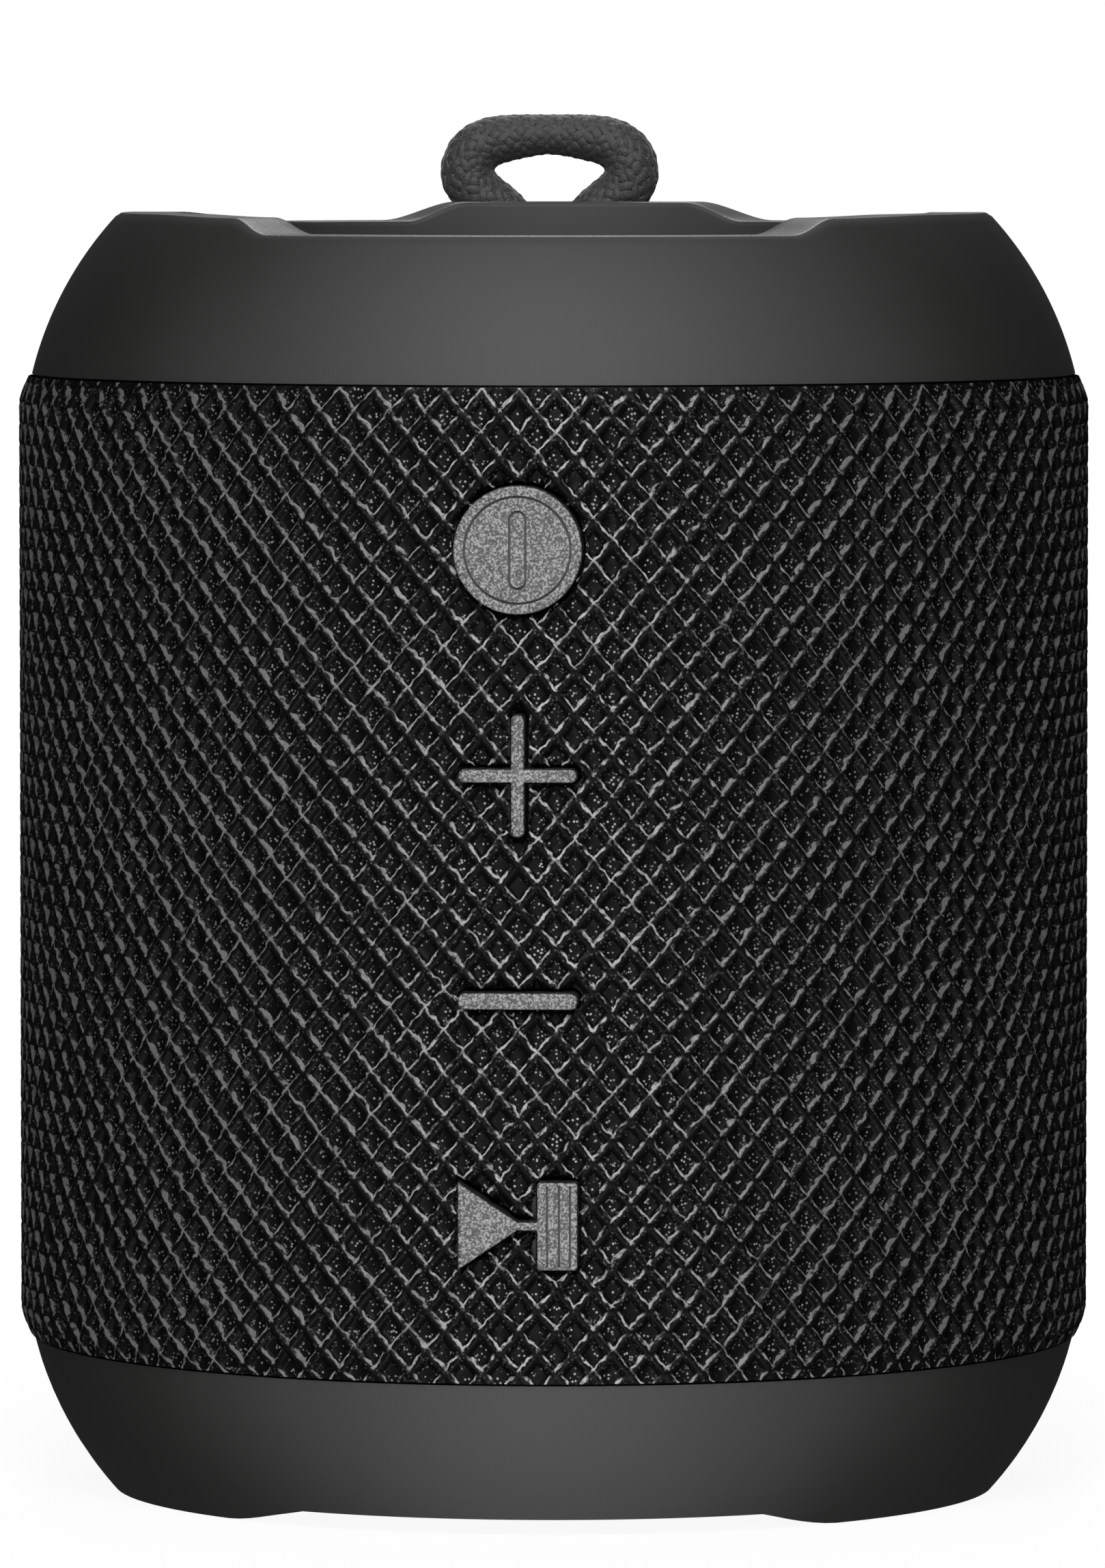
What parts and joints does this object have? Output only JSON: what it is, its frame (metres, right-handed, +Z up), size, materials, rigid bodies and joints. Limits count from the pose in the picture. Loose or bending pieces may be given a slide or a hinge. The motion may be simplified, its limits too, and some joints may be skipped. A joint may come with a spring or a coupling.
{
  "type": "shower speaker",
  "caption": "Drum-shaped splash-proof portable speaker: mesh fabric sleeve between two rubber end caps, raised keys down the front, rear wrist loop and port door.",
  "frame": {"origin": "centre of the plane that the two feet stand on", "axes": "+Z up along the drum's axis, -Y towards the keys, +X to the right as seen from the front"},
  "size_m": [0.09, 0.0912, 0.1158],
  "materials": {
    "cap_rubber": "satin soft-touch rubber",
    "plate_rubber": "matte grained rubber",
    "mesh_fabric": "black glossy nylon air-mesh knit",
    "cord_fabric": "braided nylon",
    "key_rubber": "speckled matte grey rubber",
    "shell_plastic": "moulded black plastic",
    "cabinet_plastic": "moulded dark plastic",
    "gasket_foam": "closed-cell foam",
    "screw_steel": "zinc-plated steel",
    "basket_steel": "black stamped steel",
    "magnet_plating": "nickel-plated magnet",
    "coil_copper": "enamelled copper winding",
    "cone_paper": "pulp cone",
    "surround_rubber": "butyl rubber",
    "spider_cloth": "treated cloth",
    "cell_wrap": "shrink-wrapped cell",
    "circuit_board": "solder-masked glass-epoxy",
    "component_body": "moulded components",
    "plated_tin": "tin-plated steel",
    "jack_plastic": "black moulded plastic",
    "lead_insulation": "insulated wire",
    "ribbon_film": "polyimide ribbon"
  },
  "bodies": {
    "body": {"top_cap": "cap_rubber", "top_deck": "plate_rubber", "bottom_cap": "cap_rubber", "bottom_plate": "plate_rubber", "base_screws": "screw_steel", "fabric_sleeve": "mesh_fabric", "grille_shell": "shell_plastic", "lanyard_pin": "screw_steel", "door_hinge_pin": "screw_steel", "left_frame": "basket_steel", "right_frame": "basket_steel", "left_yoke": "basket_steel", "right_yoke": "basket_steel", "left_magnet": "magnet_plating", "right_magnet": "magnet_plating", "left_spider": "spider_cloth", "right_spider": "spider_cloth", "left_surround": "surround_rubber", "right_surround": "surround_rubber", "driver_gaskets": "gasket_foam", "radiator_frame": "basket_steel", "radiator_surround": "surround_rubber", "battery_cell": "cell_wrap", "battery_cradle": "shell_plastic", "main_board": "circuit_board", "shield_can": "plated_tin", "board_components": "component_body", "board_screws": "screw_steel", "inner_leads": "lead_insulation", "port_cable": "lead_insulation", "button_ribbon": "ribbon_film", "button_board": "circuit_board", "tact_switches": "component_body", "button_frame": "shell_plastic", "cabinet": "cabinet_plastic", "cabinet_gasket": "gasket_foam", "cabinet_lid": "cabinet_plastic", "lid_screws": "screw_steel", "cap_screws": "screw_steel", "port_board": "circuit_board", "usb_socket": "plated_tin", "aux_jack": "jack_plastic"},
    "lanyard": {"lanyard_clamp": "shell_plastic", "lanyard_cord": "cord_fabric"},
    "door": {"port_door": "cap_rubber"},
    "left_diaphragm": {"left_cone": "cone_paper", "left_dust_cap": "cone_paper", "left_voice_coil": "coil_copper"},
    "right_diaphragm": {"right_cone": "cone_paper", "right_dust_cap": "cone_paper", "right_voice_coil": "coil_copper"},
    "radiator": {"radiator_plate": "cone_paper"},
    "power_key": {"power_button": "key_rubber", "power_plunger": "component_body"},
    "volume_up_key": {"volume_up_button": "key_rubber", "volume_up_plunger": "component_body"},
    "volume_down_key": {"volume_down_button": "key_rubber", "volume_down_plunger": "component_body"},
    "play_key": {"play_button": "key_rubber", "play_plunger": "component_body"}
  },
  "joints": [
    {"name": "lanyard_swing", "type": "hinge", "parent": "body", "child": "lanyard", "pos_m": [-0.0028, 0.0385, 0.0981], "axis": [-1, 0, 0], "range_deg": [0, 85]},
    {"name": "door_swing", "type": "hinge", "parent": "body", "child": "door", "pos_m": [0, 0.0394, 0.0049], "axis": [-1, 0, 0], "range_deg": [0, 95]},
    {"name": "left_stroke", "type": "slide", "parent": "body", "child": "left_diaphragm", "axis": [-1, 0, 0], "range_m": [-0.0015, 0.0015], "stiffness_N_per_m": 1200},
    {"name": "right_stroke", "type": "slide", "parent": "body", "child": "right_diaphragm", "axis": [1, 0, 0], "range_m": [-0.0015, 0.0015], "stiffness_N_per_m": 1200},
    {"name": "radiator_stroke", "type": "slide", "parent": "body", "child": "radiator", "axis": [0, 1, 0], "range_m": [-0.0025, 0.0025], "stiffness_N_per_m": 500},
    {"name": "power_press", "type": "slide", "parent": "body", "child": "power_key", "axis": [0, 1, 0], "range_m": [0, 0.0005], "stiffness_N_per_m": 3000},
    {"name": "volume_up_press", "type": "slide", "parent": "body", "child": "volume_up_key", "axis": [0, 1, 0], "range_m": [0, 0.0005], "stiffness_N_per_m": 3000},
    {"name": "volume_down_press", "type": "slide", "parent": "body", "child": "volume_down_key", "axis": [0, 1, 0], "range_m": [0, 0.0005], "stiffness_N_per_m": 3000},
    {"name": "play_press", "type": "slide", "parent": "body", "child": "play_key", "axis": [0, 1, 0], "range_m": [0, 0.0005], "stiffness_N_per_m": 3000}
  ]
}
